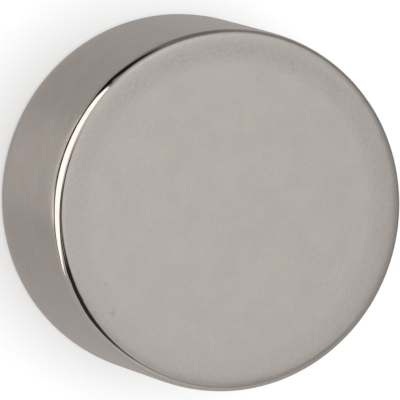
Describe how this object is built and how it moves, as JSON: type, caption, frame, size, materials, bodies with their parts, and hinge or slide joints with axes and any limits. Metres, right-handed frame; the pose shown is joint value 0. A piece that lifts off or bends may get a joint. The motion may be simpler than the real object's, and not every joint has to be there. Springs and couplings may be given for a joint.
{
  "type": "disc magnet",
  "caption": "Solid round magnet disc with flat pole faces, a straight rim and small rounded edges, in satin nickel plating.",
  "frame": {"origin": "centre of the lower pole face", "axes": "+Z along the disc's axis, towards the upper pole face; X and Y are any two directions across the disc"},
  "size_m": [0.02, 0.02, 0.01],
  "materials": {
    "nickel_plate": "satin nickel plating, warm grey, smooth on the faces and centreless-ground on the rim"
  },
  "bodies": {
    "root": {"magnet": "nickel_plate"}
  },
  "joints": []
}
